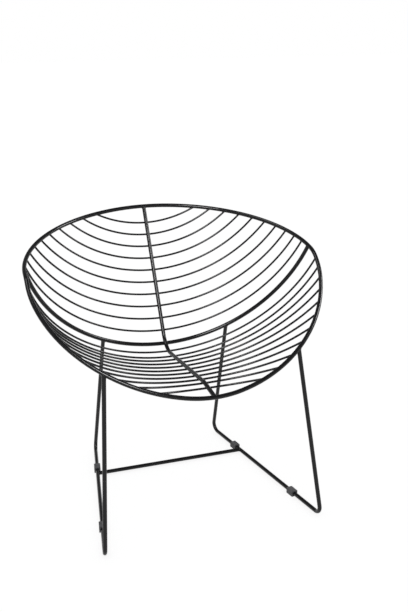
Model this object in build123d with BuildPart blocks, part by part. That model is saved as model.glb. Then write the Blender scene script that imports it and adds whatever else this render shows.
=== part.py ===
"""Wire lounge chair: a folded hoop and a central spine carry a bowl of bent wires on two sled legs."""

import os
from math import cos, radians, sin, sqrt, tan

from build123d import *

# Rod stock, in millimetres
rim_diameter = 11
leg_diameter = 11
stretcher_diameter = 11
bar_diameter = 11
spine_diameter = 11
wire_diameter = 5.5
weld_set = 1  # depth that two crossing rods melt into each other
butt_gap = 2  # a rod that butts a rod of its own size stops this far short of its centre line

# Hoop: one closed rod, folded across its widest place; angles are measured from the floor
hoop_half_width = 389
hoop_front_length = 389.5  # down the slope, from the fold to the front
hoop_back_length = 353  # up the slope, from the fold to the top
front_slope = 41.2
back_slope = 15.7
fold_height = 638  # where the two slopes would meet
fold_radius = 80
front_taper = 1.081  # power of the sine and cosine: 1 is an ellipse, more is leaner at the corners
back_taper = 1.028
hoop_quarter_spans = 4

# Spine: straight down the back, round the crease, along the seat and over the knee to the front
crease_back = 116  # behind the origin
crease_height = 355.5
crease_radius = 71
knee_forward = 233  # ahead of the origin
knee_height = 388.5
knee_radius = 60

# Wires: where each row starts and stops on the hoop and on the spine
back_wire_count = 10
back_top_angle = 23  # on the hoop, from its top
back_low_angle = 81
back_end_drift = 0.105  # how much wider the spacing is at the start of a row than even spacing
back_top_margin = 46  # on the spine, from its top to the first wire
bar_gap = 36  # on the spine, from the last back wire to the cradle bar
bar_into_bend = 26  # on the spine, from the start of the crease bend
bar_end_behind_fold = 32  # on the hoop
seat_wire_count = 11
seat_gap = 30  # on the spine, from the cradle bar to the first seat wire
seat_front_margin = 62.5  # on the spine, from the last seat wire to its front end
seat_mid_drift = 0.06
seat_fold_angle = 89.5  # on the hoop, from its front
seat_front_angle = 22.5
seat_end_drift = -0.22

# Sled legs: one rod a side, from the hoop down, along the floor and up to the cradle bar
leg_front_margin = 100  # on the hoop, from the front leg's weld to the front
leg_bar_half_span = 180  # from the middle of the bar to the rear leg's weld
front_foot_half_span = 285
front_foot_reach = 318  # ahead of the origin
rear_foot_half_span = 191.5
rear_foot_reach = 273.5  # behind the origin
front_bend_radius = 20
rear_bend_radius = 20

# Stretcher and glides: places along the runner, from its front corner
stretcher_station = 425
front_glide_station = 137
rear_glide_station = 456.5
glide_length = 27
glide_width = 18
glide_sole = 3  # plastic under the rod
glide_cap = 3  # plastic over the rod
glide_shoulder = 2
glide_edge = 1

# Derived places; the origin is on the floor, under the middle of the hoop
front_angle = radians(front_slope)
back_angle = radians(back_slope)
fold_back = (hoop_front_length * cos(front_angle) - hoop_back_length * cos(back_angle)) / 2
fold_reach = fold_radius * tan((front_angle - back_angle) / 2)
seam_side = Vector(0.3, 1, 0.2)  # sets where a rod's seam runs
runner_height = glide_sole + leg_diameter / 2
glide_height = glide_sole + leg_diameter + glide_cap


def on_front_slope(across, down):
    return Vector(across, fold_back - down * cos(front_angle), fold_height - down * sin(front_angle))


def on_back_slope(across, up):
    return Vector(across, fold_back + up * cos(back_angle), fold_height + up * sin(back_angle))


def quarter(angle, length, taper):
    """Half width and slope distance of a hoop quarter, with 0 degrees at its far end and 90 at the fold."""
    across = hoop_half_width * sin(radians(angle)) ** taper
    along = fold_reach + (length - fold_reach) * max(cos(radians(angle)), 0) ** taper
    return across, along


def front_end(along):
    """Point of the hoop at a slope distance in front of the fold."""
    share = max((along - fold_reach) / (hoop_front_length - fold_reach), 0) ** (1 / front_taper)
    return on_front_slope(hoop_half_width * sqrt(1 - share**2) ** front_taper, along)


def back_end(along):
    """Point of the hoop at a slope distance behind the fold."""
    share = max((along - fold_reach) / (hoop_back_length - fold_reach), 0) ** (1 / back_taper)
    return on_back_slope(hoop_half_width * sqrt(1 - share**2) ** back_taper, along)


def hoop_knots():
    """Points and directions along the right half of the hoop, from its front to its top."""
    step = 90 / hoop_quarter_spans
    nudge = step / 100
    knots = [(on_front_slope(0, hoop_front_length), Vector(1, 0, 0))]
    for i in range(1, hoop_quarter_spans):
        ahead = on_front_slope(*quarter(i * step + nudge, hoop_front_length, front_taper))
        behind = on_front_slope(*quarter(i * step - nudge, hoop_front_length, front_taper))
        place = on_front_slope(*quarter(i * step, hoop_front_length, front_taper))
        knots.append((place, (ahead - behind).normalized()))
    knots.append((on_front_slope(hoop_half_width, fold_reach), on_front_slope(0, -1) - on_front_slope(0, 0)))
    knots.append((on_back_slope(hoop_half_width, fold_reach), on_back_slope(0, 1) - on_back_slope(0, 0)))
    for i in range(hoop_quarter_spans - 1, 0, -1):
        ahead = on_back_slope(*quarter(i * step - nudge, hoop_back_length, back_taper))
        behind = on_back_slope(*quarter(i * step + nudge, hoop_back_length, back_taper))
        place = on_back_slope(*quarter(i * step, hoop_back_length, back_taper))
        knots.append((place, (ahead - behind).normalized()))
    knots.append((on_back_slope(0, hoop_back_length), Vector(-1, 0, 0)))
    return knots


def tangent_arc_pair(start, start_way, end, end_way):
    """Two arcs that join smoothly between two points with given directions."""
    chord = end - start
    both = start_way + end_way
    turn = 2 * (1 - start_way.dot(end_way))
    reach = (sqrt(chord.dot(both) ** 2 + turn * chord.dot(chord)) - chord.dot(both)) / turn
    corner_in = start + start_way * reach
    corner_out = end - end_way * reach
    joint = (corner_in + corner_out) * 0.5
    TangentArc(start, joint, tangent=start_way)
    TangentArc(joint, end, tangent=corner_out - corner_in)


def spread(first, last, count, drift=0):
    """Places in a row, with spacing that narrows evenly along it, or widens if the drift is negative."""
    shares = [i / (count - 1) for i in range(count)]
    return [first + (last - first) * (s + drift * s * (1 - s)) for s in shares]


def mirrored(point):
    return Vector(-point.X, point.Y, point.Z)


def short_of(point, target):
    """Place where a rod stops when it butts a rod of its own size at a point."""
    return point + (target - point).normalized() * butt_gap


def twin(part):
    """The same piece on the left of the chair."""
    with BuildPart() as other:
        add(mirror(part, about=Plane.YZ, mode=Mode.PRIVATE))
    return other.part


def square_to(path, radius):
    """Round section of a rod, at the start of its path, with its seam on a side that no weld crosses."""
    way = path % 0
    with BuildSketch(Plane(origin=path @ 0, x_dir=way.cross(seam_side), z_dir=way)) as section:
        Circle(radius)
    return section.sketch


# Hoop rim
with BuildLine() as hoop_half:
    knots = hoop_knots()
    for (start, start_way), (end, end_way) in zip(knots, knots[1:]):
        tangent_arc_pair(start, start_way, end, end_way)

with BuildPart() as rim:
    sweep(square_to(hoop_half.wire(), rim_diameter / 2), path=hoop_half.wire())
    mirror(about=Plane.YZ)

# Spine, from the top of the hoop to its front
spine_top = on_back_slope(0, hoop_back_length)
spine_front = on_front_slope(0, hoop_front_length)
crease = Vector(0, crease_back, crease_height)
knee = Vector(0, -knee_forward, knee_height)
with BuildLine() as spine_line:
    FilletPolyline(
        short_of(spine_top, crease),
        crease,
        knee,
        short_of(spine_front, knee),
        radius=[crease_radius, knee_radius],
    )
spine_path = spine_line.wire()

with BuildPart() as spine:
    sweep(square_to(spine_path, spine_diameter / 2), path=spine_path)
    add(rim.part, mode=Mode.SUBTRACT)


def under_spine(station, diameter):
    """Middle of a rod that crosses on the outer side of the spine, at a length along it from the top."""
    place = spine_path.position_at(station, PositionMode.LENGTH)
    way = spine_path.tangent_at(station, PositionMode.LENGTH)
    outward = way.cross(Vector(1, 0, 0)).normalized()
    if outward.Z > 0:
        outward = -outward
    return place + outward * (spine_diameter / 2 + diameter / 2 - weld_set)


def bowl_arc(end, station, diameter):
    """Arc of a bowl rod, from its end on the left of the hoop, under the spine, to its end on the right."""
    with BuildLine() as arc:
        ThreePointArc(mirrored(end), under_spine(station, diameter), end)
    return arc.wire()


# Stations along the spine
bend_start = spine_line.edges().sort_by(Axis.Z)[-1].length
bar_station = bend_start + bar_into_bend
back_stations = spread(back_top_margin, bar_station - bar_gap, back_wire_count)
seat_stations = spread(
    bar_station + seat_gap, spine_path.length - seat_front_margin, seat_wire_count, seat_mid_drift
)

# Cradle bar
bar_end = back_end(bar_end_behind_fold)
bar_path = bowl_arc(short_of(bar_end, mirrored(bar_end)), bar_station, bar_diameter)
with BuildPart() as cradle_bar:
    sweep(square_to(bar_path, bar_diameter / 2), path=bar_path)
    add(rim.part, mode=Mode.SUBTRACT)
    add(spine.part, mode=Mode.SUBTRACT)

# Back and seat wires
back_ends = [
    on_back_slope(*quarter(angle, hoop_back_length, back_taper))
    for angle in spread(back_top_angle, back_low_angle, back_wire_count, back_end_drift)
]
seat_ends = [
    on_front_slope(*quarter(angle, hoop_front_length, front_taper))
    for angle in spread(seat_fold_angle, seat_front_angle, seat_wire_count, seat_end_drift)
]
wires = {}
for row, ends, stations in (("back", back_ends, back_stations), ("seat", seat_ends, seat_stations)):
    for number, (end, station) in enumerate(zip(ends, stations), 1):
        wire_path = bowl_arc(end, station, wire_diameter)
        with BuildPart() as wire:
            sweep(square_to(wire_path, wire_diameter / 2), path=wire_path)
            add(rim.part, mode=Mode.SUBTRACT)
            add(spine.part, mode=Mode.SUBTRACT)
        wires[f"{row}_wire_{number:02d}"] = wire.part

# Sled legs
leg_weld = front_end(hoop_front_length - leg_front_margin)
front_corner = Vector(front_foot_half_span, -front_foot_reach, runner_height)
rear_corner = Vector(rear_foot_half_span, rear_foot_reach, runner_height)
bar_edge = bar_path.edge()
bar_swing = bar_edge.arc_center
bar_radius = bar_edge.radius
bar_middle = under_spine(bar_station, bar_diameter)
bar_rise = (bar_swing - bar_middle).normalized()
leg_rest = bar_middle + bar_rise * (bar_radius - sqrt(bar_radius**2 - leg_bar_half_span**2))
leg_rest = Vector(leg_bar_half_span, leg_rest.Y, leg_rest.Z)
with BuildLine() as sled_line:
    FilletPolyline(
        short_of(leg_weld, front_corner),
        front_corner,
        rear_corner,
        short_of(leg_rest, rear_corner),
        radius=[front_bend_radius, rear_bend_radius],
    )
sled_path = sled_line.wire()

with BuildPart() as right_sled:
    sweep(square_to(sled_path, leg_diameter / 2), path=sled_path)
    add(rim.part, mode=Mode.SUBTRACT)
    add(cradle_bar.part, mode=Mode.SUBTRACT)

left_sled = twin(right_sled.part)

# Stretcher between the two runners
runner_way = (rear_corner - front_corner).normalized()
stretcher_end = front_corner + runner_way * stretcher_station
stretcher_half = stretcher_end.X - butt_gap
with BuildPart() as stretcher:
    with BuildSketch(Plane.YZ.offset(-stretcher_half)):
        with Locations((stretcher_end.Y, runner_height)):
            Circle(stretcher_diameter / 2)
    extrude(amount=2 * stretcher_half)
    add(left_sled, mode=Mode.SUBTRACT)
    add(right_sled.part, mode=Mode.SUBTRACT)


def glide_on_right(station):
    """Moulded sleeve on the right runner, at a length from its front corner."""
    middle = front_corner + runner_way * station
    end_plane = Plane(
        origin=middle - runner_way * (glide_length / 2) - Vector(0, 0, runner_height),
        x_dir=Vector(0, 0, 1).cross(runner_way),
        z_dir=runner_way,
    )
    with BuildPart() as glide:
        with BuildSketch(end_plane):
            with Locations((0, glide_height / 2)):
                Rectangle(glide_width, glide_height)
        extrude(amount=glide_length)
        fillet(glide.edges().filter_by(Axis(middle, runner_way)).group_by(Axis.Z)[-1], glide_shoulder)
        chamfer(glide.edges().filter_by(GeomType.LINE).group_by(Axis.Z)[0], glide_edge)
        with BuildSketch(end_plane):
            with Locations((0, runner_height)):
                Circle(leg_diameter / 2)
        extrude(amount=glide_length, mode=Mode.SUBTRACT)
    return glide.part


# Floor glides
glides = {}
for place, station in (("front", front_glide_station), ("rear", rear_glide_station)):
    glide_part = glide_on_right(station)
    glides[f"{place}_right_glide"] = glide_part
    glides[f"{place}_left_glide"] = twin(glide_part)

# One file for each piece
pieces = {
    "rim": rim.part,
    "spine": spine.part,
    "cradle_bar": cradle_bar.part,
    "left_sled": left_sled,
    "right_sled": right_sled.part,
    "stretcher": stretcher.part,
}
pieces.update(wires)
pieces.update(glides)
os.makedirs("parts", exist_ok=True)
for name, piece in pieces.items():
    piece.label = name
    export_step(piece, f"parts/{name}.step")
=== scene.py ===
import bpy
import bmesh
import math
from mathutils import Matrix, Vector
from mathutils.bvhtree import BVHTree


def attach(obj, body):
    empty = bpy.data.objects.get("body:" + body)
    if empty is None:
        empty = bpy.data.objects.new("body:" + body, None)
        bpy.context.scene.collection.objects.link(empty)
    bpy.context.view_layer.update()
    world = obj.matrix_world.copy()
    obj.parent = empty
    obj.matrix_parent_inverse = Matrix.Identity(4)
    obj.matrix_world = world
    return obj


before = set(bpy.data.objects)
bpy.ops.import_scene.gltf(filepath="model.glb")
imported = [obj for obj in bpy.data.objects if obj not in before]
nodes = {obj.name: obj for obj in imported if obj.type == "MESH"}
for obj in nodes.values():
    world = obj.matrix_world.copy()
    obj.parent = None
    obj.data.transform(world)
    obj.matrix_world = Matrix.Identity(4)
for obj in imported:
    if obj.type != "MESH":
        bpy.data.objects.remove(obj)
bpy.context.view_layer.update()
mm = 0.001  # metres in a millimetre
print("frame loaded:", len(nodes), "nodes")

wireNames = sorted(name for name in nodes if "_wire_" in name)
rodNames = sorted(name for name in nodes if "glide" not in name)
glideNames = sorted(name for name in nodes if "glide" in name)


# finishes

def newMaterial(name):
    material = bpy.data.materials.new(name)
    material.use_nodes = True
    return material, material.node_tree, material.node_tree.nodes["Principled BSDF"]


def addNode(tree, kind, **settings):
    node = tree.nodes.new(kind)
    for key, value in settings.items():
        if key in node.inputs:
            node.inputs[key].default_value = value
        else:
            setattr(node, key, value)
    return node


def addRamp(tree, source, span, colours):
    ramp = addNode(tree, "ShaderNodeValToRGB")
    for stop, position, colour in zip(ramp.color_ramp.elements, span, colours):
        stop.position = position
        stop.color = (*colour, 1)
    tree.links.new(source, ramp.inputs["Fac"])
    return ramp.outputs["Color"]


def addRange(tree, source, span, results):
    scale = addNode(tree, "ShaderNodeMapRange")
    for socket, value in zip(("From Min", "From Max", "To Min", "To Max"), (*span, *results)):
        scale.inputs[socket].default_value = value
    tree.links.new(source, scale.inputs["Value"])
    return scale.outputs["Result"]


powderCoat = {
    "deep": (0.0028, 0.0028, 0.0033),
    "pale": (0.0058, 0.0058, 0.0066),
    "cloud": {"Scale": 26, "Detail": 4, "Roughness": 0.6},  # slow drift of the black along a rod
    "tintSpan": (0.35, 0.68),                               # the cloud's values from deep to pale
    "roughSpan": (0.3, 0.7),                                # and from smooth to rough
    "roughness": (0.13, 0.2),
    "peel": {"Scale": 1900, "Detail": 2},                   # orange peel, about half a millimetre
    "peelBump": {"Strength": 0.08, "Distance": 0.5 * mm},
    "grain": {"Scale": 5200, "Detail": 1},                  # powder grain, about a fifth of a millimetre
    "grainBump": {"Strength": 0.05, "Distance": 0.2 * mm},
    "specular": 0.28,
}


def makePowderCoat(name, spec):
    material, tree, shader = newMaterial(name)
    place = addNode(tree, "ShaderNodeTexCoord")
    cloud = addNode(tree, "ShaderNodeTexNoise", **spec["cloud"])
    peel = addNode(tree, "ShaderNodeTexNoise", **spec["peel"])
    grain = addNode(tree, "ShaderNodeTexNoise", **spec["grain"])
    for texture in (cloud, peel, grain):
        tree.links.new(place.outputs["Object"], texture.inputs["Vector"])
    tint = addRamp(tree, cloud.outputs["Fac"], spec["tintSpan"], (spec["deep"], spec["pale"]))
    rough = addRange(tree, cloud.outputs["Fac"], spec["roughSpan"], spec["roughness"])
    grainBump = addNode(tree, "ShaderNodeBump", **spec["grainBump"])
    peelBump = addNode(tree, "ShaderNodeBump", **spec["peelBump"])
    tree.links.new(grain.outputs["Fac"], grainBump.inputs["Height"])
    tree.links.new(peel.outputs["Fac"], peelBump.inputs["Height"])
    tree.links.new(grainBump.outputs["Normal"], peelBump.inputs["Normal"])
    tree.links.new(tint, shader.inputs["Base Color"])
    tree.links.new(rough, shader.inputs["Roughness"])
    tree.links.new(peelBump.outputs["Normal"], shader.inputs["Normal"])
    shader.inputs["Specular IOR Level"].default_value = spec["specular"]
    return material


glidePlastic = {
    "deep": (0.052, 0.052, 0.055),
    "pale": (0.074, 0.074, 0.078),
    "cloud": {"Scale": 140, "Detail": 3},
    "tintSpan": (0.3, 0.7),
    "mould": {"Scale": 2600},                               # spark-eroded mould texture
    "mouldBump": {"Strength": 0.18, "Distance": 0.15 * mm},
    "roughness": 0.58,
    "specular": 0.4,
}


def makeGlidePlastic(name, spec):
    material, tree, shader = newMaterial(name)
    place = addNode(tree, "ShaderNodeTexCoord")
    cloud = addNode(tree, "ShaderNodeTexNoise", **spec["cloud"])
    mould = addNode(tree, "ShaderNodeTexVoronoi", **spec["mould"])
    for texture in (cloud, mould):
        tree.links.new(place.outputs["Object"], texture.inputs["Vector"])
    tint = addRamp(tree, cloud.outputs["Fac"], spec["tintSpan"], (spec["deep"], spec["pale"]))
    bump = addNode(tree, "ShaderNodeBump", **spec["mouldBump"])
    tree.links.new(mould.outputs["Distance"], bump.inputs["Height"])
    tree.links.new(tint, shader.inputs["Base Color"])
    tree.links.new(bump.outputs["Normal"], shader.inputs["Normal"])
    shader.inputs["Roughness"].default_value = spec["roughness"]
    shader.inputs["Specular IOR Level"].default_value = spec["specular"]
    return material


def dress(obj, material):
    obj.data.materials.clear()
    obj.data.materials.append(material)


coatMaterial = makePowderCoat("powderCoatBlack", powderCoat)
plasticMaterial = makeGlidePlastic("glidePlasticGrey", glidePlastic)
for name in rodNames:
    dress(nodes[name], coatMaterial)
for name in glideNames:
    dress(nodes[name], plasticMaterial)
print("finishes set on", len(rodNames), "rods and", len(glideNames), "glides")


# weld beads, run round the edge of each joint that the solids share

wireWelds = {
    "bead": 1.1 * mm,           # radius of the run
    "sink": 0.5 * mm,           # how far its middle lies under the other rod's surface
    "wander": 0.16,             # largest share by which the radius varies round a joint
    "points": 22,               # round a joint
    "pairs": [(wire, other) for wire in wireNames for other in ("rim", "spine")],
}
frameWelds = {
    "bead": 2.0 * mm,
    "sink": 0.9 * mm,
    "wander": 0.14,
    "points": 30,
    "pairs": [
        ("cradle_bar", "rim"), ("cradle_bar", "spine"), ("spine", "rim"),
        ("left_sled", "rim"), ("right_sled", "rim"),
        ("left_sled", "cradle_bar"), ("right_sled", "cradle_bar"),
        ("stretcher", "left_sled"), ("stretcher", "right_sled"),
    ],
}
joint = {
    "merge": 0.02 * mm,         # corners of a mesh this close are one
    "reach": 0.45 * mm,         # the two meshes are this close on the joint's face
    "facing": -0.6,             # and their normals' product is under this
    "fewestCorners": 6,         # on its edge, so that a sliver gets no bead
}
ripple = {                      # of a bead's radius, as two waves
    "slow": 1.7,                # radians from point to point
    "fast": 3.1,
    "fastShare": 0.6,
    "shift": 2.3,               # radians from pair to pair
}
beadRoundness = 2               # bevel resolution, for 8 sides


def surfaceOf(name):
    bm = bmesh.new()
    bm.from_mesh(nodes[name].data)
    surface = BVHTree.FromBMesh(bm)
    bm.free()
    return surface


def touchingFaces(bm, surface):
    otherNormal = {vert: surface.find_nearest(vert.co, joint["reach"])[1] for vert in bm.verts}
    touching = []
    for face in bm.faces:
        normals = [otherNormal[vert] for vert in face.verts]
        if any(normal is None for normal in normals):
            continue
        if face.normal.dot(sum(normals, Vector()) / len(normals)) < joint["facing"]:
            touching.append(face)
    return touching


def groupFaces(faces):
    left = dict.fromkeys(faces)
    groups = []
    while left:                 # faces that hang together are one joint
        group = []
        queue = [left.popitem()[0]]
        while queue:
            face = queue.pop()
            group.append(face)
            for vert in face.verts:
                for other in vert.link_faces:
                    if other in left:
                        del left[other]
                        queue.append(other)
        groups.append(group)
    return groups


def jointEdges(name, surface):
    bm = bmesh.new()
    bm.from_mesh(nodes[name].data)
    bmesh.ops.remove_doubles(bm, verts=bm.verts, dist=joint["merge"])
    bm.normal_update()
    loops = []
    for group in groupFaces(touchingFaces(bm, surface)):
        inside = set(group)
        corners = dict.fromkeys(vert for face in group for vert in face.verts)
        edge = [vert.co.copy() for vert in corners if not inside.issuperset(vert.link_faces)]
        area = sum((face.normal * face.calc_area() for face in group), Vector())
        if len(edge) >= joint["fewestCorners"]:
            loops.append((edge, area.normalized()))
    bm.free()
    return loops


def ringOrder(points, axis):
    middle = sum(points, Vector()) / len(points)
    side = axis.orthogonal().normalized()
    other = axis.cross(side)
    return sorted(points, key=lambda p: math.atan2((p - middle).dot(other), (p - middle).dot(side)))


def evenRing(points, count):
    closed = points + points[:1]
    reach = [0.0]
    for start, end in zip(closed, closed[1:]):
        reach.append(reach[-1] + (end - start).length)
    ring = []
    stretch = 0
    for i in range(count):
        want = reach[-1] * i / count
        while reach[stretch + 1] < want:
            stretch += 1
        share = (want - reach[stretch]) / (reach[stretch + 1] - reach[stretch])
        ring.append(closed[stretch].lerp(closed[stretch + 1], share))
    return ring


def swell(point, pair):
    slow = math.sin(ripple["slow"] * point + ripple["shift"] * pair)
    fast = math.sin(ripple["fast"] * point + pair)
    return (slow + ripple["fastShare"] * fast) / (1 + ripple["fastShare"])


def addWelds(name, spec):
    path = bpy.data.curves.new(name + "Path", "CURVE")
    path.dimensions = "3D"
    path.bevel_depth = spec["bead"]
    path.bevel_resolution = beadRoundness
    surfaces = {}
    for pair, (rod, other) in enumerate(spec["pairs"]):
        if other not in surfaces:
            surfaces[other] = surfaceOf(other)
        for points, axis in jointEdges(rod, surfaces[other]):
            spline = path.splines.new("POLY")
            spline.points.add(spec["points"] - 1)
            spline.use_cyclic_u = True
            for i, place in enumerate(evenRing(ringOrder(points, axis), spec["points"])):
                outward = surfaces[other].find_nearest(place)[1]
                spline.points[i].co = (*(place - outward * spec["sink"]), 1)
                spline.points[i].radius = 1 + spec["wander"] * swell(i, pair)
    runs = len(path.splines)
    guide = bpy.data.objects.new(name + "Guide", path)
    bpy.context.scene.collection.objects.link(guide)
    bpy.context.view_layer.update()
    depsgraph = bpy.context.evaluated_depsgraph_get()
    mesh = bpy.data.meshes.new_from_object(guide.evaluated_get(depsgraph))
    bpy.data.objects.remove(guide)
    mesh.name = name
    mesh.shade_smooth()
    welds = bpy.data.objects.new(name, mesh)
    bpy.context.scene.collection.objects.link(welds)
    dress(welds, coatMaterial)
    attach(welds, "root")
    return runs


wireRuns = addWelds("wireWelds", wireWelds)
frameRuns = addWelds("frameWelds", frameWelds)
print("weld runs:", wireRuns, "on the wires,", frameRuns, "on the frame")


# camera, at the photograph's angle

cameraSpec = {
    "place": (-590.9 * mm, -2064.0 * mm, 1177.5 * mm),
    "turn": -17.97,             # degrees about the upright, negative to the right
    "dip": 17.13,               # degrees down
    "roll": -0.97,
    "focalPixels": 841.0,
    "frameHeight": 612,         # pixels
    "sensor": 36,               # millimetres, along the frame's height
}


def addCamera(spec):
    lens = bpy.data.cameras.new("camera")
    lens.sensor_fit = "VERTICAL"
    lens.sensor_height = spec["sensor"]
    lens.lens = spec["focalPixels"] * spec["sensor"] / spec["frameHeight"]
    camera = bpy.data.objects.new("camera", lens)
    bpy.context.scene.collection.objects.link(camera)
    turn = Matrix.Rotation(math.radians(spec["turn"]), 4, "Z")
    dip = Matrix.Rotation(math.radians(90 - spec["dip"]), 4, "X")
    roll = Matrix.Rotation(math.radians(spec["roll"]), 4, "Z")
    camera.matrix_world = Matrix.Translation(spec["place"]) @ turn @ dip @ roll
    bpy.context.scene.camera = camera


addCamera(cameraSpec)
print("camera placed")


# floor, world and lamps

studio = {
    "floorSize": 160,           # metres
    "floorColour": (0.86, 0.86, 0.86),
    "floorRoughness": 0.9,
    "lift": 0.83,               # with the world's light, brings the floor to white
    "worldLight": 0.22,
    "wallTop": 5,               # degrees up to which the studio's white wall shows in the gloss
    "roofFrom": 22,             # degrees from which the dim roof does
    "roofGloss": 0.04,
    "aim": (0, 0, 0.45),        # metres, in the bowl, where the lamps point
}
lamps = {                       # turn is from the chair's front towards +X, rise is from the floor
    "key": {"turn": -20, "rise": 40, "away": 3.0, "size": 0.95, "power": 76},
    "crown": {"turn": -93, "rise": 68, "away": 2.6, "size": 1.1, "power": 20},
    "side": {"turn": 78, "rise": 32, "away": 2.6, "size": 0.75, "power": 34},
}


def addMath(tree, operation, first, second):
    node = addNode(tree, "ShaderNodeMath", operation=operation)
    tree.links.new(first, node.inputs[0])
    tree.links.new(second, node.inputs[1])
    return node.outputs["Value"]


def addFloor(spec):
    mesh = bpy.data.meshes.new("floor")
    bm = bmesh.new()
    bmesh.ops.create_grid(bm, x_segments=1, y_segments=1, size=spec["floorSize"] / 2)
    bm.to_mesh(mesh)
    bm.free()
    floor = bpy.data.objects.new("floor", mesh)
    bpy.context.scene.collection.objects.link(floor)
    material, tree, shader = newMaterial("floorPale")
    shader.inputs["Base Color"].default_value = (*spec["floorColour"], 1)
    shader.inputs["Roughness"].default_value = spec["floorRoughness"]
    shader.inputs["Specular IOR Level"].default_value = 0
    rays = addNode(tree, "ShaderNodeLightPath")
    direct = addMath(tree, "MAXIMUM", rays.outputs["Is Camera Ray"], rays.outputs["Is Glossy Ray"])
    seen = addMath(tree, "MAXIMUM", direct, rays.outputs["Is Transmission Ray"])
    glow = addNode(tree, "ShaderNodeEmission", Strength=spec["lift"])
    pick = addNode(tree, "ShaderNodeMixShader")     # its empty first side is no glow
    total = addNode(tree, "ShaderNodeAddShader")
    tree.links.new(seen, pick.inputs["Fac"])
    tree.links.new(glow.outputs["Emission"], pick.inputs[2])
    tree.links.new(shader.outputs["BSDF"], total.inputs[0])
    tree.links.new(pick.outputs["Shader"], total.inputs[1])
    tree.links.new(total.outputs["Shader"], tree.nodes["Material Output"].inputs["Surface"])
    mesh.materials.append(material)
    return floor


def addWorld(spec):
    world = bpy.data.worlds.new("studio")
    world.use_nodes = True
    tree = world.node_tree
    rays = addNode(tree, "ShaderNodeLightPath")
    way = addNode(tree, "ShaderNodeTexCoord")
    height = addNode(tree, "ShaderNodeSeparateXYZ")
    tree.links.new(way.outputs["Generated"], height.inputs["Vector"])
    heights = [math.sin(math.radians(spec[edge])) for edge in ("wallTop", "roofFrom")]
    wall = addRange(tree, height.outputs["Z"], heights, (1, spec["roofGloss"]))
    gloss = addMath(tree, "MULTIPLY", wall, rays.outputs["Is Glossy Ray"])
    clear = addMath(tree, "MAXIMUM", rays.outputs["Is Camera Ray"], rays.outputs["Is Transmission Ray"])
    shown = addMath(tree, "MAXIMUM", clear, gloss)
    level = addNode(tree, "ShaderNodeMath", operation="MAXIMUM")
    level.inputs[1].default_value = spec["worldLight"]
    tree.links.new(shown, level.inputs[0])
    light = tree.nodes["Background"]
    light.inputs["Color"].default_value = (1, 1, 1, 1)
    tree.links.new(level.outputs["Value"], light.inputs["Strength"])
    bpy.context.scene.world = world


def addLamp(name, spec, aim, unlit):
    light = bpy.data.lights.new(name, "AREA")
    light.shape = "SQUARE"
    light.size = spec["size"]
    light.energy = spec["power"]
    lamp = bpy.data.objects.new(name, light)
    turn = Matrix.Rotation(math.radians(spec["turn"]), 4, "Z")
    rise = Matrix.Rotation(math.radians(90 - spec["rise"]), 4, "X")
    lamp.matrix_world = Matrix.Translation(aim) @ turn @ rise @ Matrix.Translation((0, 0, spec["away"]))
    lamp.light_linking.receiver_collection = unlit
    bpy.context.scene.collection.objects.link(lamp)


floor = addFloor(studio)
addWorld(studio)
unlitByLamps = bpy.data.collections.new("unlitByLamps")
unlitByLamps.objects.link(floor)
unlitByLamps.collection_objects[0].light_linking.link_state = "EXCLUDE"  # the world lights it evenly
for name, spec in lamps.items():
    addLamp(name, spec, studio["aim"], unlitByLamps)
bpy.context.scene.view_settings.view_transform = "Standard"
print("studio lit")
